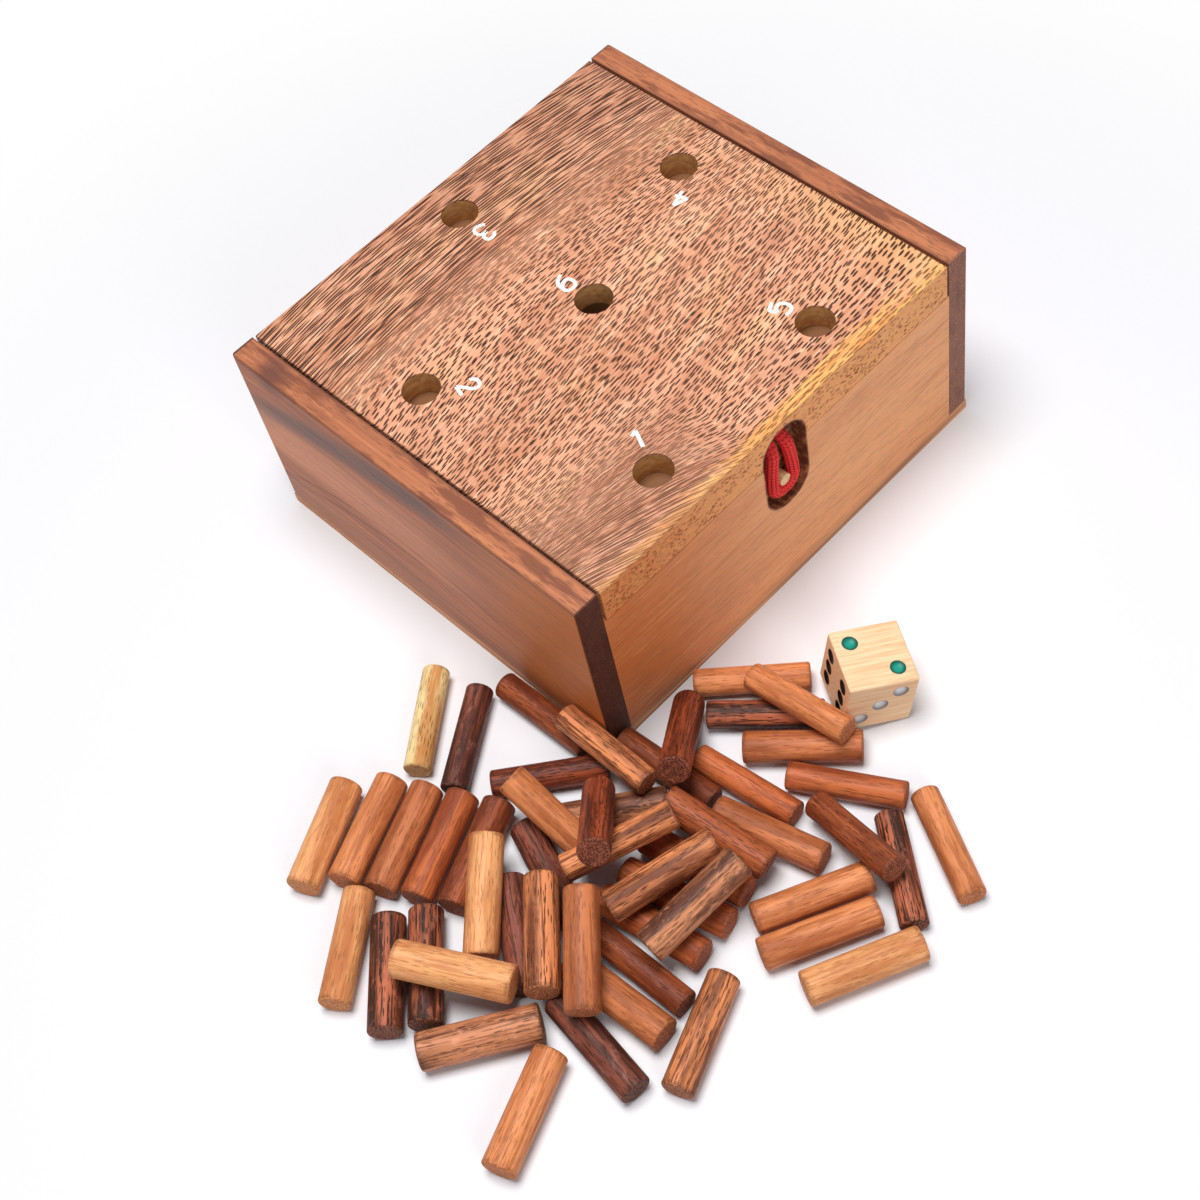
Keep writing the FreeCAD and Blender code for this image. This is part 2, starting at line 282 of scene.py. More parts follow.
# %% Drilled and burnt places
def in_peg_hole(x, y, z):
    """1 on the walls and floors of the six holes."""
    inside = x * 0.0
    for number, (across_x, along_y) in hole_places.items():
        beside = x - across_x * MM
        along = y - along_y * MM
        away = x.math("SQRT", beside * beside + along * along)
        bottom = lid_low.z if number == through_hole else top - hole_depth - 0.6 * MM
        deep = smooth(z, bottom + 0.1 * MM, bottom + 0.4 * MM)
        inside = inside + smooth(away, hole_radius + 0.25 * MM, hole_radius + 0.12 * MM) * deep
    return inside * smooth(z, top - 0.35 * MM, top - 0.6 * MM)


def drilled_wood(place, z):
    """Bare wood in the holes, with painted shade darkening their floors."""
    mottle = noise(place, (5, 1.2, 1.2), 6.0)
    walls = blend(smooth(mottle, 0.35, 0.65), rgb(0.51, 0.24, 0.085), rgb(0.68, 0.375, 0.14))
    hole_floor = top - hole_depth
    # painted shade: the floor of each hole is made darker than its walls
    floor_shade = smooth(z, hole_floor + 0.2 * MM, hole_floor + 0.05 * MM)
    return blend(floor_shade * 0.95, walls, rgb(0.20, 0.085, 0.037))


def clasp_scorch(x, y, z):
    """1 in the clasp's hollow and on its rim, where the cutter burnt the wood."""
    over = z - z.math("MINIMUM", z.math("MAXIMUM", z, clasp_low_z), clasp_high_z)
    beside = x - clasp_x
    away = x.math("SQRT", beside * beside + over * over)
    in_slot = smooth(away, clasp_radius + 0.5 * MM, clasp_radius + 0.1 * MM)
    return in_slot * smooth(y, front + clasp_depth + 0.6 * MM, front + clasp_depth + 0.2 * MM)


def scorched_wood(place):
    """Dark brown with paler scraped patches."""
    mottle = noise(place, (1.6, 1.6, 1.6), 9.0)
    return blend(smooth(mottle, 0.42, 0.68), rgb(0.179, 0.057, 0.03), rgb(0.536, 0.224, 0.09))


print("holes:", len(hole_places), "of radius", round(hole_radius / MM, 2), "mm")


# %% Lid grain and pores
def lid_grain(x, y):
    """The place across the lid's grain, and how far the grain fans out at the front left corner."""
    swing = (0.16 * smooth(y, 35 * MM, -12 * MM) - 0.03) * smooth(y, -56 * MM, -32 * MM)
    arch = smooth(y, -14 * MM, 12 * MM) * 1.65
    fan = smooth(y, -20 * MM, -48 * MM)
    left = x.math("MINIMUM", x + 8 * MM, 0.0)
    across = y - x * swing + x * x * arch + fan * left * 0.42
    return across, fan * smooth(x, -6 * MM, -26 * MM)


def lid_pores(grain, long_grain, length, width):
    """Short dashes, or long lines where the grain runs straight; a larger size keeps the same places."""
    dense = smooth(noise(grain, (16, 5, 5), 4.0), 0.25, 0.5)
    dash = dashes(grain, (2.6, 0.8, 1.0), (length, width, 1.0), 3.0, "2D")
    line = dashes(grain, (8.0, 0.68, 1.0), (length * 3.6, width, 1.0), 7.0, "2D")
    short = dash * (0.6 + 0.4 * dense) * (1 - 0.75 * long_grain)
    return dash.math("MAXIMUM", short, line * long_grain)


print("lid grain ready")


# %% Lid colours
def lid_ground(grain, streaks, x, y):
    """The colour between the pores: broad bands, fine streaks, clouds and two duller corners."""
    broad = noise(grain, (60, 7, 7), 1.0)
    colour = blend(smooth(broad, 0.34, 0.66), rgb(0.82, 0.395, 0.235), rgb(0.61, 0.255, 0.14))
    colour = blend(smooth(streaks, 0.5, 0.66) * 0.8, colour, rgb(0.92, 0.60, 0.39))
    colour = blend(smooth(streaks, 0.48, 0.34) * 0.5, colour, rgb(0.42, 0.15, 0.07))
    cloud = noise(grain, (28, 11, 11), 12.0)
    colour = blend(smooth(cloud, 0.52, 0.72) * 0.45, colour, rgb(0.50, 0.215, 0.135))
    colour = blend(smooth(cloud, 0.46, 0.28) * 0.45, colour, rgb(0.92, 0.54, 0.26))
    back_right = smooth(y + x * 0.35, 22 * MM, 68 * MM)
    colour = blend(back_right * 0.5, colour, rgb(0.48, 0.20, 0.125))
    front_left = smooth(y, -15 * MM, -40 * MM) * smooth(x, 0.0, -20 * MM)
    return blend(front_left * 0.35, colour, rgb(0.50, 0.225, 0.145))


def in_sapwood(grain, x, y):
    """1 in the band along the front edge, whose border wanders."""
    wander = (noise(grain, (30, 1.4, 1.4), 5.0) - 0.5) * (9 * MM)
    bow = abs(x - 20 * MM) * 0.03
    return smooth(y + wander + bow, -48.5 * MM, -52 * MM)


def edge_wood(streaks, x):
    """The lid's front face: plain tan, darker and redder to the left, partly painted shade where the light
    falls off.
    """
    # partly painted shade: darker towards the left end, like the front wall below
    tan = blend(smooth(x, -52 * MM, -5 * MM), rgb(0.72, 0.22, 0.062), rgb(0.93, 0.385, 0.13))
    return blend(smooth(streaks, 0.45, 0.62) * 0.5, tan, rgb(0.93, 0.46, 0.145))


print("lid colours ready")


# %% Lid wood
def lid_wood():
    finish = Finish("lid_wood")
    x, y, z = parts_of(finish.place)
    across, fan = lid_grain(x, y)
    grain = place_of(x, across + z * 0.8, z)
    streaks = noise(grain, (12, 0.5, 0.5), 2.0, 4.0)
    long_grain = fan.math("MAXIMUM", fan * 0.8, smooth(y, 14 * MM, 34 * MM))
    edge_face = smooth(y - front, 0.35 * MM, 0.1 * MM) * smooth(z, top - 0.3 * MM, top - 0.8 * MM)

    sapwood = in_sapwood(grain, x, y)
    tint = blend(smooth(streaks, 0.4, 0.6), rgb(0.70, 0.27, 0.08), rgb(0.93, 0.50, 0.17))
    colour = blend(sapwood * (1 - 0.35 * fan), lid_ground(grain, streaks, x, y), tint)
    right_side = smooth(x, 38 * MM, 54 * MM) * smooth(y, 15 * MM, -45 * MM)
    colour = blend(right_side * 0.55, colour, rgb(0.90, 0.51, 0.20))
    colour = blend(edge_face * 0.92, colour, edge_wood(streaks, x))

    stain = lid_pores(grain, long_grain, 2.5, 0.54) * (1 - edge_face) * (1 - 0.6 * sapwood)
    colour = blend(stain * 0.3, colour, rgb(0.44, 0.13, 0.045))
    specks = dashes(finish.place, (1.1, 0.6, 0.6), (1.0, 0.5, 0.42), 8.0) * edge_face
    specks = specks * smooth(noise(finish.place, (5, 5, 3), 10.0), 0.66, 0.46)
    pores = blend_values(edge_face, lid_pores(grain, long_grain, 2.2, 0.34), specks * 0.95)
    pore_colour = blend(edge_face, rgb(0.03, 0.008, 0.005), rgb(0.34, 0.08, 0.02))
    colour = blend(pores * (0.96 - 0.4 * sapwood * (1 - edge_face)), colour, pore_colour)

    holes = in_peg_hole(x, y, z)
    colour = blend(holes, colour, drilled_wood(finish.place, z))
    colour = blend(clasp_scorch(x, y, z), colour, scorched_wood(finish.place))

    roughness = 0.42 + 0.25 * pores + 0.12 * streaks
    height = 0.15 * streaks - pores * (1 - holes)
    return finish.surface(colour, roughness, height, 0.12)


dress("lid", lid_wood())
print("lid:", len(nodes["lid"].data.polygons), "triangles")

# %% [markdown]
# ## Box boards
# The two end panels are streaky boards, dark and light along their length, with almost black end grain on
# the front and back. The walls between them are a plainer, straight-grained wood, and the thin board under
# them shows as a lighter strip. Each board gets its grain along its own length.

# %% Marks of the left end panel
def left_panel_marks(colour, streaks, broad, on_top, y, z):
    """A painted sheen in an arc under the top, two arched lines, and warmer and duller areas."""
    along = y + 20 * MM
    arc = abs(z - 51 * MM + along * along * 2.5)
    # painted sheen: a dark bluish arc under the top stands for light reflected off the oiled board
    painted_sheen = smooth(arc, 7 * MM, 1 * MM) * smooth(y, -35 * MM, 0.0) * (1 - on_top)
    colour = blend(painted_sheen * (0.6 + 0.35 * smooth(streaks, 0.38, 0.6)), colour, rgb(0.12, 0.072, 0.064))
    middle = smooth(abs(z - 31 * MM), 14 * MM, 2 * MM) * smooth(y, -40 * MM, 10 * MM)
    colour = blend(middle * 0.55, colour, rgb(0.86, 0.36, 0.19))
    front_part = smooth(y, -5 * MM, -40 * MM) * (1 - on_top)
    colour = blend(front_part * 0.7, colour, rgb(0.66, 0.205, 0.045))
    bow = z + (y - 3 * MM) * (y - 3 * MM) * 4.75
    for height in (24.4, 20.6):
        line = smooth(abs(bow - height * MM), 1.0 * MM, 0.2 * MM) * smooth(broad, 0.36, 0.56)
        colour = blend(line * 0.75, colour, rgb(0.26, 0.085, 0.032))
    low_part = smooth(z, 19 * MM, 8 * MM) * smooth(y, -20 * MM, 15 * MM)
    return blend(low_part * 0.5, colour, rgb(0.38, 0.175, 0.112))


print("left panel marks ready")


# %% End grain
def end_grain(place, seed, colour):
    """A sawn end: dark, with paler specks and deeper rings."""
    specks = dashes(place, (0.6, 0.6, 0.6), (0.35, 0.35, 0.35), seed)
    rings = smooth(noise(place, (2.2, 30, 7), seed + 1), 0.45, 0.7)
    speckled = blend(specks * 0.55, colour, shade_of(colour, 2.6))
    return blend(rings * 0.5, speckled, shade_of(colour, 0.45))


print("end grain ready")

# %% Wood of the end panels
panel_thickness = 6.2 * MM
half_depth = -box_low.y


def panel_wood(name, seed, end_colour, knot, marked):
    """A streaky board along Y; knot is the middle of a dark patch, in millimetres."""
    finish = Finish(name)
    x, y, z = parts_of(finish.place)
    sway = noise(finish.place, (50, 50, 50), seed, 1.0) * (6 * MM)
    grain = place_of(x, y, z + sway)
    broad = noise(grain, (4, 60, 7), seed + 1)
    streaks = noise(grain, (0.9, 36, 0.9), seed + 2, 4.0)
    pores = dashes(grain, (0.6, 3.0, 0.6), (0.28, 2.4, 0.28), seed + 3)
    on_top = smooth(z, top - 1.5 * MM, top - 0.2 * MM)

    colour = blend(smooth(broad, 0.38, 0.62), rgb(0.58, 0.19, 0.078), rgb(0.39, 0.115, 0.05))
    colour = blend(smooth(streaks, 0.5, 0.66) * 0.5, colour, rgb(0.78, 0.30, 0.125))
    colour = blend(smooth(streaks, 0.47, 0.34) * 0.6, colour, rgb(0.223, 0.059, 0.029))
    colour = blend(on_top * 0.5, colour, rgb(0.44, 0.17, 0.085))
    patches = smooth(noise(grain, (2.2, 14, 9), seed + 4, 4.0), 0.48, 0.6)
    colour = blend(on_top * patches * 0.85, colour, rgb(0.2, 0.062, 0.032))
    if marked:
        colour = left_panel_marks(colour, streaks, broad, on_top, y, z)
    veins = smooth(noise(grain, (0.8, 50, 0.7), seed + 8, 2.0), 0.56, 0.66)
    colour = blend(veins * 0.35, colour, rgb(0.208, 0.072, 0.04))
    away = vector_math(finish.place, "DISTANCE", [v * MM for v in knot], "Value")
    ripple = noise(finish.place, (3, 3, 3), seed + 5) * (4 * MM)
    colour = blend(smooth(away + ripple, 9 * MM, 3 * MM) * 0.85, colour, rgb(0.136, 0.048, 0.035))
    colour = blend(pores * (0.25 + 0.35 * on_top), colour, rgb(0.16, 0.064, 0.04))

    # dark lines along both edges of the top: burnt wood, and at the inner edge beside the lid also painted
    # shade of the gap
    from_middle = abs(abs(x) + box_low.x + panel_thickness / 2)
    burnt = smooth(from_middle, panel_thickness / 2 - 0.7 * MM, panel_thickness / 2 - 0.1 * MM) * on_top
    colour = blend(burnt * 0.6, colour, rgb(0.12, 0.042, 0.029))
    end = smooth(abs(y), half_depth - 0.7 * MM, half_depth - 0.25 * MM)
    colour = blend(end, colour, end_grain(finish.place, seed + 6, end_colour))

    roughness = 0.42 + 0.15 * streaks + 0.1 * end
    height = 0.4 * streaks - 0.5 * pores
    return finish.surface(colour, roughness, height, 0.05)


print("panels:", round(panel_thickness / MM, 1), "mm thick")

# %% Both end panels
left_wood = panel_wood("left_panel_wood", 11.0, rgb(0.08, 0.023, 0.012), (-58, 42, 55), True)
right_wood = panel_wood("right_panel_wood", 31.0, rgb(0.26, 0.105, 0.066), (59, 70, 20), False)
dress("left_end_panel", left_wood)
dress("right_end_panel", right_wood)
print("end panels:", left_wood.name, right_wood.name)


# %% Front and rear walls
def wall_wood(name, seed, scorched):
    """Straight grain along X, darker and more orange to the left, partly the wood's tone and partly painted
    shade where the light falls off, and paler to the right.
    """
    finish = Finish(name)
    x, y, z = parts_of(finish.place)
    grain = place_of(x, y, z + x * 0.03)
    streaks = noise(grain, (14, 0.7, 0.6), seed, 5.0, 0.6)
    broad = noise(grain, (120, 12, 9), seed + 1)
    pores = dashes(grain, (3.2, 0.6, 0.6), (2.2, 0.22, 0.22), seed + 2) * 0.3

    # partly painted shade: the wood darkens towards the left end, where the light falls off
    colour = blend(smooth(x, -55 * MM, 0.0), rgb(0.661, 0.188, 0.045), rgb(0.93, 0.414, 0.177))
    colour = blend(smooth(broad, 0.45, 0.7) * 0.35, colour, rgb(0.692, 0.233, 0.087))
    colour = blend(smooth(streaks, 0.5, 0.68) * 0.35, colour, rgb(0.93, 0.556, 0.263))
    colour = blend(smooth(streaks, 0.46, 0.32) * 0.45, colour, rgb(0.541, 0.181, 0.072))
    colour = blend(pores, colour, rgb(0.226, 0.082, 0.045))
    lines = dashes(grain, (9, 0.7, 0.55), (8, 0.2, 0.2), seed + 3)
    colour = blend(lines * smooth(broad, 0.25, 0.55) * 0.6, colour, rgb(0.384, 0.124, 0.051))
    if scorched:
        colour = blend(clasp_scorch(x, y, z), colour, scorched_wood(finish.place))

    roughness = 0.42 + 0.14 * streaks
    height = 0.5 * streaks - pores
    return finish.surface(colour, roughness, height, 0.04)


dress("front_wall", wall_wood("front_wall_wood", 51.0, True))
dress("rear_wall", wall_wood("rear_wall_wood", 61.0, False))
print("walls dressed")


# %% Base board
def base_wood():
    finish = Finish("base_wood")
    layers = noise(finish.place, (60, 60, 0.45), 71.0, 2.0)
    streaks = noise(finish.place, (40, 1.0, 0.8), 72.0, 4.0)
    colour = blend(smooth(layers, 0.4, 0.62), rgb(0.871, 0.436, 0.21), rgb(0.42, 0.173, 0.082))
    colour = blend(smooth(streaks, 0.5, 0.7) * 0.4, colour, rgb(0.93, 0.556, 0.301))
    return finish.surface(colour, 0.5 + 0.15 * streaks, streaks, 0.03)


dress("base_board", base_wood())
print("base dressed")

# %% [markdown]
# ## Clasp
# A turned pin of pale wood stands in the burnt hollow, and a loop of red knitted elastic hangs over it from
# the lid. The cord is one smooth spline that follows the points of its route, swept into a tube. Its
# stitches are small, but they are what says elastic, so the tube's points are moved out to make the knit's
# wales and courses, and the colour follows the same relief, with painted shade in its hollows.

# %% Clasp pin and hinge pins
def clasp_wood():
    finish = Finish("clasp_wood")
    grain = noise(finish.place, (0.5, 9, 0.5), 81.0)
    colour = blend(smooth(grain, 0.35, 0.7), rgb(0.93, 0.706, 0.376), rgb(0.782, 0.436, 0.195))
    return finish.surface(colour, 0.5 + 0.1 * grain, grain, 0.03)


def hinge_steel():
    finish = Finish("hinge_steel")
    scratches = noise(finish.place, (6, 0.15, 0.15), 82.0)
    colour = blend(scratches, rgb(0.50, 0.49, 0.47), rgb(0.66, 0.65, 0.63))
    finish.shader.inputs["Metallic"].default_value = 1.0
    return finish.surface(colour, 0.25 + 0.2 * scratches, scratches, 0.01)


dress("clasp_pin", clasp_wood())
dress("hinge_pins", hinge_steel())
print("pins dressed")

# %% Route of the elastic cord
cord_diameter = 2.9 * MM
cord_core = cord_diameter - 0.2 * MM
left_leg = [
    (-1.5, -39.75, 49.05),
    (-1.5, -52.1, 49.05),
    (-3.25, -52.1, 38.0),
    (-3.25, -52.1, 31.3),
]
right_leg = [(-x, y, z) for x, y, z in reversed(left_leg)]
cord_route = [Vector((x, y, z)) * MM + Vector((clasp_x, 0, 0)) for x, y, z in left_leg + right_leg]


def route_curve(thickness):
    """The cord's line as a NURBS spline, swept to a tube if it has a thickness."""
    data = bpy.data.curves.new("cord_route", "CURVE")
    data.dimensions = "3D"
    data.resolution_u = 64
    data.bevel_depth = thickness / 2
    data.bevel_resolution = 16
    data.use_fill_caps = True
    spline = data.splines.new("NURBS")
    spline.points.add(len(cord_route) - 1)
    for point, place in zip(spline.points, cord_route):
        point.co = (*place, 1.0)
    spline.order_u = 3
    spline.use_endpoint_u = True
    return bpy.data.objects.new("cord_route", data)


def mesh_of(curve):
    """A curve object made a mesh, and the curve removed."""
    mesh = bpy.data.meshes.new_from_object(curve)
    data = curve.data
    bpy.data.objects.remove(curve)
    bpy.data.curves.remove(data)
    return mesh


line = mesh_of(route_curve(0.0))
cord_line = np.array([v.co for v in line.vertices])
cord_steps = np.linalg.norm(np.diff(cord_line, axis=0), axis=1)
cord_along = np.concatenate([[0.0], np.cumsum(cord_steps)])
print("cord:", len(cord_line), "points, length", round(cord_along[-1] / MM, 1), "mm")

# %% Knitted tube
cord_stitch = 0.95 * MM
cord_wales = 9
stitch_slant = 0.55
knit_height = 0.22 * MM
cord_side = (0.0, 1.0, 0.3)


def knit(along, around):
    """Height of the knit from 0 to 1: each wale is a column of slanted stitches."""
    wale = around * cord_wales
    half = np.abs(wale - np.floor(wale) - 0.5) * 2
    course = along / cord_stitch + half * stitch_slant
    stitch = np.abs(np.sin(math.pi * course)) ** 0.6
    return stitch * np.cos(half * math.pi / 2) ** 0.5


print("knit:", cord_wales, "wales,", round(cord_along[-1] / cord_stitch), "courses")


# %% Cord piece
def knitted_cord():
    tube = mesh_of(route_curve(cord_core))
    places = np.array([v.co for v in tube.vertices])
    gaps = np.linalg.norm(places[:, None, :] - cord_line[None], axis=2)
    nearest = gaps.argmin(axis=1)
    tangents = np.gradient(cord_line, axis=0)
    tangents /= np.linalg.norm(tangents, axis=1)[:, None]
    outward = places - cord_line[nearest]
    outward -= (outward * tangents[nearest]).sum(1)[:, None] * tangents[nearest]
    reach = np.linalg.norm(outward, axis=1)
    outward /= np.maximum(reach, 1e-9)[:, None]
    aside = np.cross(tangents[nearest], cord_side)
    aside /= np.linalg.norm(aside, axis=1)[:, None]
    over = np.cross(tangents[nearest], aside)
    around = np.arctan2((outward * over).sum(1), (outward * aside).sum(1)) / (2 * math.pi) + 0.5
    height = knit(cord_along[nearest], around)
    for vertex, move, way in zip(tube.vertices, height, outward):
        vertex.co += Vector(way) * float(move) * knit_height
    relief = tube.attributes.new("knit", "FLOAT", "POINT")
    relief.data.foreach_set("value", height.astype(np.float32))
    tube.shade_smooth()
    piece = bpy.data.objects.new("elastic_cord", tube)
    bpy.context.scene.collection.objects.link(piece)
    return piece


cord = knitted_cord()
print("knitted cord:", len(cord.data.polygons), "faces")


# %% Yarn and motion
def elastic_yarn():
    finish = Finish("elastic_yarn")
    relief = finish.place.add("ShaderNodeAttribute", {"attribute_name": "knit"}, {}, "Fac")
    fuzz = noise(finish.place, (0.12, 0.12, 0.12), 91.0)
    # painted shade: the yarn darkens where the knit's relief is low, in the grooves between stitches
    colour = blend(smooth(relief, 0.15, 0.65), rgb(0.34, 0.006, 0.008), rgb(0.97, 0.055, 0.05))
    colour = blend(smooth(fuzz, 0.6, 0.8) * 0.35, colour, rgb(0.95, 0.2, 0.18))
    return finish.surface(colour, 0.7 + 0.2 * fuzz, fuzz, 0.04)


cord.data.materials.append(elastic_yarn())
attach(cord, "lid")
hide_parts("clasp_cord")
print("cord rides on the lid in", cord.data.materials[0].name)

# %% [markdown]
# ## Numerals
# Each hole's number is painted by hand in white, with its top towards the middle of the lid. A font would
# look printed, so each figure is a few brush strokes: splines swept to round strokes, made a mesh and then
# pressed almost flat onto the lid.

# %% Strokes of the figures
figure_height = 4.6 * MM
stroke_width = 0.2
paint_flatness = 0.09
figures = {
    1: [[(-0.2, 0.28), (0.06, 0.5)], [(0.06, 0.5), (0.06, -0.5)]],
    2: [
        [(-0.28, 0.24), (-0.26, 0.52), (0.3, 0.58), (0.32, 0.12), (0.0, -0.12), (-0.3, -0.48)],
        [(-0.3, -0.48), (0.32, -0.46)],
    ],
    3: [
        [(-0.28, 0.36), (-0.12, 0.56), (0.32, 0.54), (0.3, 0.06), (-0.06, 0.05)],
        [(-0.06, 0.05), (0.38, 0.06), (0.36, -0.56), (-0.12, -0.56), (-0.3, -0.34)],
    ],
    4: [[(0.1, 0.5), (-0.32, -0.14)], [(-0.32, -0.14), (0.34, -0.14)], [(0.12, 0.5), (0.12, -0.5)]],
    5: [
        [(0.28, 0.48), (-0.22, 0.48)],
        [(-0.22, 0.48), (-0.26, 0.06)],
        [(-0.26, 0.06), (0.02, 0.24), (0.38, 0.1), (0.34, -0.42), (0.0, -0.58), (-0.3, -0.38)],
    ],
    6: [[
        (0.22, 0.5), (-0.22, 0.36), (-0.36, -0.1), (-0.3, -0.56),
        (0.32, -0.56), (0.34, 0.04), (0.0, 0.12), (-0.3, -0.14),
    ]],
}
figure_places = {
    1: (-21.0, -33.5, -26),
    2: (-33.4, 5.1, -107),
    3: (-0.2, 34.2, 180),
    4: (33.3, 5.6, 107),
    5: (22.9, -33.4, 24),
    6: (0.0, 9.0, 0),
}
print("strokes:", sum(len(strokes) for strokes in figures.values()))


# %% Painted numerals
def white_paint():
    finish = Finish("white_paint")
    wear = noise(finish.place, (0.5, 0.5, 0.5), 101.0)
    colour = blend(smooth(wear, 0.6, 0.85), rgb(0.90, 0.89, 0.87), rgb(0.78, 0.70, 0.63))
    return finish.surface(colour, 0.5 + 0.2 * wear, wear, 0.03)


def numeral(number, paint):
    data = bpy.data.curves.new("strokes", "CURVE")
    data.dimensions = "3D"
    data.resolution_u = 10
    data.bevel_depth = stroke_width / 2
    data.bevel_resolution = 3
    data.use_fill_caps = True
    for stroke in figures[number]:
        spline = data.splines.new("NURBS")
        spline.points.add(len(stroke) - 1)
        for point, (x, y) in zip(spline.points, stroke):
            point.co = (x, y, 0.0, 1.0)
        spline.order_u = 3 if len(stroke) > 2 else 2
        spline.use_endpoint_u = True
    mesh = mesh_of(bpy.data.objects.new("strokes", data))
    across, along, angle = figure_places[number]
    mesh.transform(Matrix.Diagonal((figure_height, figure_height, figure_height * paint_flatness, 1.0)))
    mesh.transform(Matrix.Rotation(math.radians(angle), 4, "Z"))
    mesh.transform(Matrix.Translation((across * MM, along * MM, top)))
    mesh.shade_smooth()
    mesh.materials.append(paint)
    piece = bpy.data.objects.new(f"numeral_{number}", mesh)
    bpy.context.scene.collection.objects.link(piece)
    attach(piece, "lid")
    return piece


numerals = [numeral(number, white_paint()) for number in figures]
print("numerals:", [piece.name for piece in numerals])

# %% [markdown]
# ## Die
# The die is a cube of pale wood with hollowed pips, painted in a different colour on each face. The pips are
# already there as hollows, so the paint only has to know where they are: a point near a pip's middle takes
# the colour of its face, and painted shade darkens the paint towards the rim to make the hollow look deep.

# %% Faces of the die
die_edge = 15.4 * MM
pip_spacing = 4.0 * MM
pip_radius = 1.7 * MM
die_tilt = math.radians(10.0)
die_heading = math.radians(-31.5)
pip_corners = [(-1, 1), (1, -1), (1, 1), (-1, -1)]
die_faces = {
    1: ((1, 0, 0), (0, 1, 0), (0, 0, 1), rgb(0.55, 0.03, 0.03)),
    2: ((0, 0, 1), (1, 0, 0), (0, 1, 0), rgb(0.01, 0.30, 0.22)),
    3: ((0, -1, 0), (-1, 0, 0), (0, 0, 1), rgb(0.84, 0.82, 0.83)),
    4: ((0, 1, 0), (1, 0, 0), (0, 0, 1), rgb(0.03, 0.10, 0.40)),
    5: ((0, 0, -1), (1, 0, 0), (0, 1, 0), rgb(0.75, 0.45, 0.03)),
    6: ((-1, 0, 0), (0, 1, 0), (0, 0, 1), rgb(0.012, 0.012, 0.013)),
}


def pip_places(count):
    sides = [(-1, 0), (1, 0)] if count == 6 else []
    middle = [(0, 0)] if count % 2 else []
    return pip_corners[: count - len(sides) - len(middle)] + sides + middle


print("pips:", [len(pip_places(count)) for count in die_faces])


# %% Die wood
def middle_of(node):
    low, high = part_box(node)
    return (low + high) / 2


def die_wood():
    finish = Finish("die_wood")
    turn = Matrix.Rotation(die_heading, 3, "Z") @ Matrix.Rotation(die_tilt, 3, "Y")
    local = finish.local(middle_of("die"), turn.to_euler())
    streaks = noise(local, (11, 0.6, 0.5), 111.0, 4.0)
    pores = dashes(local, (4.5, 1.1, 0.9), (3.0, 0.2, 0.2), 112.0) * 0.5
    colour = blend(smooth(streaks, 0.38, 0.66), rgb(0.93, 0.665, 0.41), rgb(0.86, 0.50, 0.27))
    colour = blend(pores, colour, rgb(0.50, 0.22, 0.09))
    painted = None
    for count, (out, across, along, paint) in die_faces.items():
        for a, b in pip_places(count):
            pip = Vector(out) * (die_edge / 2)
            pip += (Vector(across) * a + Vector(along) * b) * pip_spacing
            away = vector_math(local, "DISTANCE", pip, "Value")
            ragged = away + (streaks - 0.5) * (0.3 * MM)
            mask = smooth(ragged, pip_radius + 0.12 * MM, pip_radius - 0.02 * MM)
            # painted shade: the paint darkens towards the pip's rim so that the hollow looks deep
            hollow = smooth(away, pip_radius * 0.45, pip_radius * 0.95)
            colour = blend(mask, colour, blend(hollow, paint, shade_of(paint, 0.3)))
            painted = mask if painted is None else painted + mask
    roughness = 0.5 + 0.1 * streaks - 0.15 * painted
    height = (0.5 * streaks - pores) * (1 - painted)
    return finish.surface(colour, roughness, height, 0.04)


dress("die", die_wood())
print("die at", [round(v / MM, 1) for v in middle_of("die")])

# %% [markdown]
# ## Pegs
# The pegs are sawn from offcuts of many woods, so no two look alike. One function makes a peg's wood from
# six choices: its light and dark colours, and how strongly it is streaked, flecked, mottled and scuffed.
# The grain has to run along each peg, however it lies, so the place is first measured from the peg's own
# middle and along its own axis, both read from its mesh.

# %% Woods of the pegs
# Each wood: light colour, dark colour, then streaks, flecks, mottle and dusty scuffs from 0 to 1
peg_woods = {
    "pale": (rgb(0.856, 0.686, 0.334), rgb(0.532, 0.226, 0.067), 0.5, 0.8, 1.0, 0.1),
    "golden": (rgb(0.856, 0.407, 0.169), rgb(0.505, 0.166, 0.051), 0.55, 0.45, 0.7, 0.1),
    "amber": (rgb(0.778, 0.287, 0.111), rgb(0.412, 0.117, 0.036), 0.65, 0.45, 0.8, 0.1),
    "tan": (rgb(0.602, 0.194, 0.073), rgb(0.293, 0.077, 0.024), 0.65, 0.5, 0.8, 0.15),
    "brick": (rgb(0.558, 0.146, 0.047), rgb(0.253, 0.052, 0.016), 0.65, 0.45, 0.8, 0.15),
    "red": (rgb(0.41, 0.102, 0.033), rgb(0.153, 0.031, 0.011), 0.7, 0.8, 0.6, 0.2),
    "russet": (rgb(0.397, 0.08, 0.028), rgb(0.077, 0.015, 0.007), 0.8, 0.9, 0.6, 0.15),
    "streaked": (rgb(0.793, 0.284, 0.112), rgb(0.173, 0.045, 0.016), 0.9, 0.9, 0.35, 0.15),
    "mottled": (rgb(0.631, 0.247, 0.113), rgb(0.113, 0.037, 0.02), 0.6, 0.8, 1.0, 0.6),
    "dark": (rgb(0.264, 0.073, 0.042), rgb(0.045, 0.012, 0.007), 0.8, 0.8, 0.7, 0.4),
    "ebony": (rgb(0.513, 0.14, 0.064), rgb(0.045, 0.013, 0.007), 1.0, 1.0, 0.5, 0.3),
}
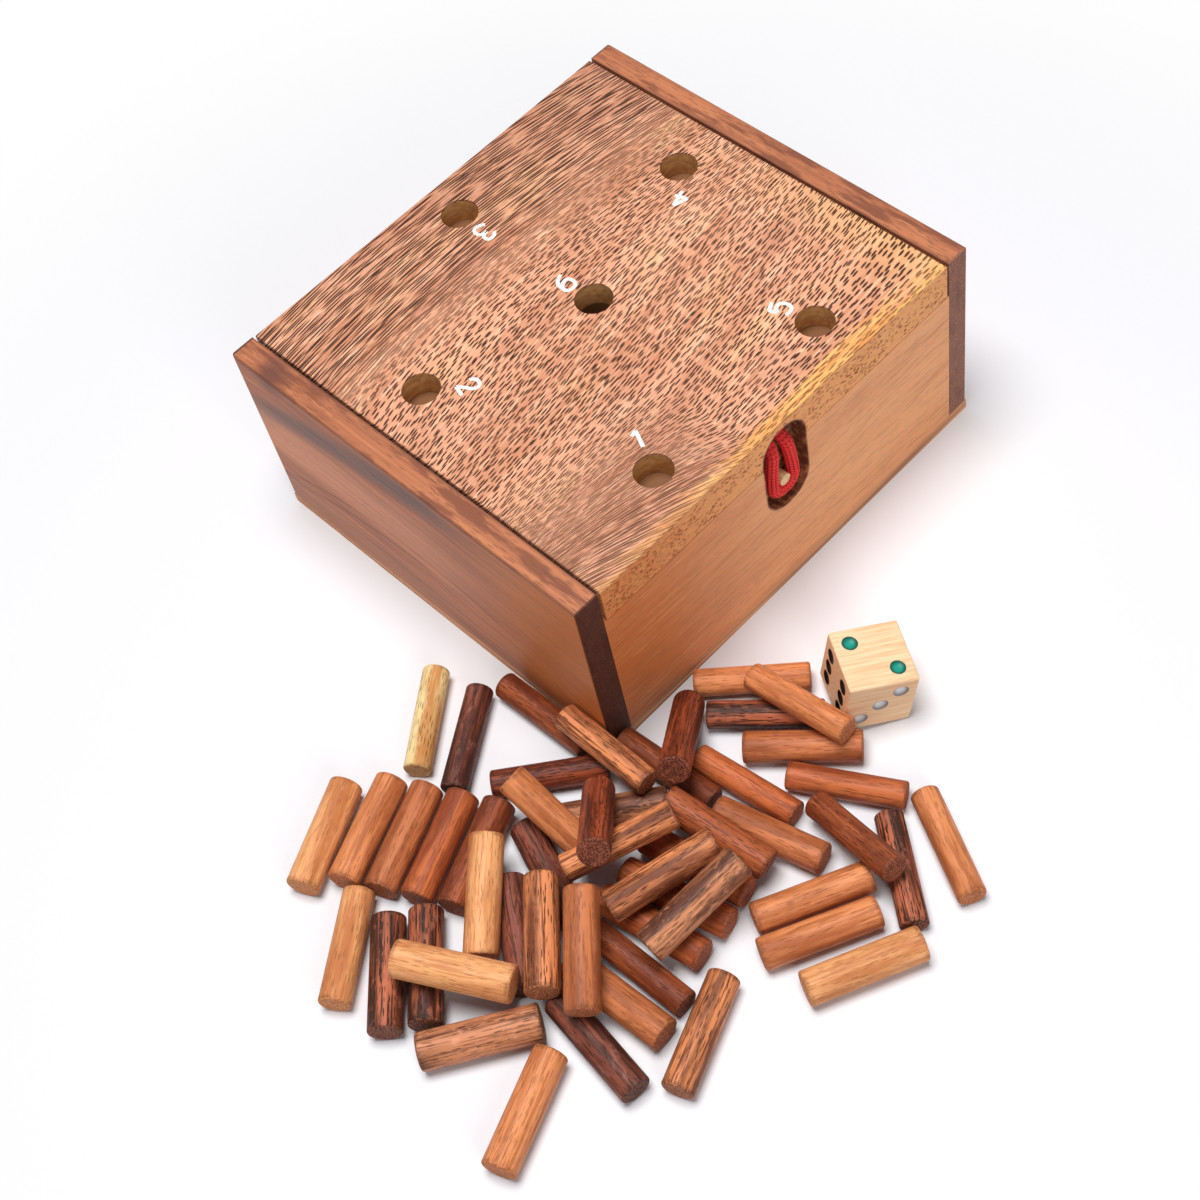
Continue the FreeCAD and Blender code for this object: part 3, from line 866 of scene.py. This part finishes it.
peg_kinds = {
    "pale": [1],
    "golden": [5, 10, 26, 43, 44],
    "amber": [6, 14, 15, 23, 24, 25, 37, 41],
    "tan": [7, 17, 21, 34, 49],
    "brick": [8, 18, 20, 30, 31, 32],
    "red": [3, 9, 19, 33, 39, 42],
    "russet": [4, 40, 50],
    "streaked": [36, 38, 45, 46, 48],
    "mottled": [13, 29, 47],
    "dark": [2, 27, 28, 35],
    "ebony": [11, 12, 16, 22],
}
print("woods of the pegs:", len(peg_woods))


# %% Axis of a peg
def axis_of(node):
    """The direction in which a node's mesh is longest."""
    places = np.array([v.co for v in nodes[node].data.vertices])
    places -= (places.min(axis=0) + places.max(axis=0)) / 2
    return Vector(np.linalg.svd(places, full_matrices=False)[2][0])


print("first peg lies along", [round(v, 2) for v in axis_of("peg_01")])

# %% Wood of one peg
peg_length = 25.5 * MM


def peg_wood(number, kind):
    node = f"peg_{number:02d}"
    light, dark, streaked, flecked, mottled, worn = peg_woods[kind]
    finish = Finish(f"{node}_{kind}_wood")
    turn = Vector((1, 0, 0)).rotation_difference(axis_of(node))
    local = finish.local(middle_of(node), turn.to_euler())
    seed = 1.7 * number

    streaks = noise(local, (11, 0.5, 0.5), seed, 4.0)
    broad = noise(local, (26, 3.2, 3.2), seed + 0.5)
    patches = noise(local, (5, 2.2, 2.2), seed + 0.9)
    pores = dashes(local, (2.2, 0.5, 0.5), (1.9, 0.24, 0.24), seed) * smooth(patches, 0.25, 0.5)

    colour = blend(smooth(broad, 0.38, 0.64), light, dark)
    colour = blend(smooth(streaks, 0.5, 0.6) * streaked, colour, dark)
    colour = blend(smooth(streaks, 0.44, 0.3) * (0.5 * streaked), colour, light)
    colour = blend(smooth(patches, 0.55, 0.75) * (0.8 * mottled), colour, dark)
    deep = shade_of(dark, 0.3)
    colour = blend(pores * flecked, colour, deep)

    scuffs = smooth(noise(local, (2.6, 1.5, 1.5), seed + 2.1, 4.0), 0.54, 0.7)
    dusty = [min(0.9, 1.1 * v + 0.07) for v in light[:3]]
    colour = blend(scuffs * worn, colour, rgb(*dusty))

    along = abs(parts_of(local)[0])
    end = smooth(along, peg_length / 2 - 0.5 * MM, peg_length / 2 - 0.15 * MM)
    specks = smooth(noise(local, (3, 0.35, 0.35), seed + 1.3, 2.0), 0.4, 0.65)
    scuffed = [0.5 * (a + b) + c for a, b, c in zip(light, dark, (0.05, 0.04, 0.03))]
    sawn = blend(specks, shade_of(dark, 0.8), rgb(*scuffed))
    colour = blend(end * 0.85, colour, sawn)
    rim = smooth(along, peg_length / 2 - 1.3 * MM, peg_length / 2 - 0.5 * MM) * (1 - end)
    colour = blend(rim * smooth(patches, 0.38, 0.6) * 0.5, colour, deep)

    roughness = 0.4 + 0.2 * streaks + 0.2 * end
    height = 0.35 * streaks - 0.9 * flecked * pores + 0.6 * end * specks
    dress(node, finish.surface(colour, roughness, height, 0.06))


print("a peg is", round(peg_length / MM, 1), "mm long")

# %% All the pegs
for kind, numbers in peg_kinds.items():
    for number in numbers:
        peg_wood(number, kind)
print("pegs:", sum(len(numbers) for numbers in peg_kinds.values()))

# %% [markdown]
# ## Floor and light
# The game lies on white paper. A wide soft lamp overhead, a weaker one in front and an even sky light it at
# a plain level, so that a colour renders about as it is written, and the paper keeps soft shadows. Far from
# the game the paper turns into plain white, so that no edge shows behind it. More light would do that too,
# but it would also wash out the woods.

# %% Rays that see the background
def seen_rays(tree):
    """1 for what looks straight at a surface, or sees it in metal or through glass."""
    rays = tree.nodes.new("ShaderNodeLightPath")
    seen = Wire(rays.outputs["Is Camera Ray"])
    for ray in ("Is Glossy Ray", "Is Transmission Ray"):
        seen = seen.math("MAXIMUM", seen, Wire(rays.outputs[ray]))
    return seen


print("background rays ready")

# %% Floor
floor_half = 2.0
paper_middle = (-0.04, -0.04, 0.0)
paper_ends = 0.13
plain_starts = 0.26


def paper():
    finish = Finish("paper")
    tree = finish.material.node_tree
    finish.shader.inputs["Base Color"].default_value = rgb(0.83, 0.83, 0.855)
    finish.shader.inputs["Roughness"].default_value = 0.9
    finish.shader.inputs["Specular IOR Level"].default_value = 0.1
    away = vector_math(finish.place, "DISTANCE", paper_middle, "Value")
    share = smooth(away, paper_ends, plain_starts) * seen_rays(tree)
    plain = tree.nodes.new("ShaderNodeEmission")
    mixed = share.add("ShaderNodeMixShader", {}, {
        0: share,
        1: Wire(finish.shader.outputs[0]),
        2: Wire(plain.outputs[0]),
    })
    tree.links.new(mixed.socket, tree.nodes["Material Output"].inputs["Surface"])
    return finish.material


square = bmesh.new()
bmesh.ops.create_grid(square, x_segments=1, y_segments=1, size=floor_half)
floor_mesh = bpy.data.meshes.new("floor")
square.to_mesh(floor_mesh)
square.free()
floor_mesh.materials.append(paper())
floor = bpy.data.objects.new("floor", floor_mesh)
bpy.context.scene.collection.objects.link(floor)
print("floor:", len(floor_mesh.polygons), "face,", 2 * floor_half, "m wide")


# %% Light
def sky(strength):
    """Even light from all round; what looks straight at it sees plain white."""
    world = bpy.data.worlds.new("sky")
    world.use_nodes = True
    tree = world.node_tree
    seen = seen_rays(tree)
    background = tree.nodes["Background"]
    cool = blend(seen, rgb(0.88, 0.90, 1.0), rgb(1.0, 1.0, 1.0))
    tree.links.new(cool.socket, background.inputs["Color"])
    tree.links.new((strength + seen * (1 - strength)).socket, background.inputs["Strength"])
    bpy.context.scene.world = world


def soft_lamp(name, place, target, size, watts):
    data = bpy.data.lights.new(name, "AREA")
    data.shape = "DISK"
    data.size = size
    data.energy = watts
    lamp = bpy.data.objects.new(name, data)
    lamp.location = place
    lamp.rotation_euler = (Vector(target) - Vector(place)).to_track_quat("-Z", "Y").to_euler()
    bpy.context.scene.collection.objects.link(lamp)


sky(0.13)
soft_lamp("overhead", place=(-0.08, 0.02, 1.0), target=(-0.03, -0.05, 0.0), size=0.55, watts=10.6)
soft_lamp("front", place=(-0.3, -0.75, 0.45), target=(-0.02, -0.06, 0.02), size=0.4, watts=1.7)
print("light ready")

# %% [markdown]
# ## Finish
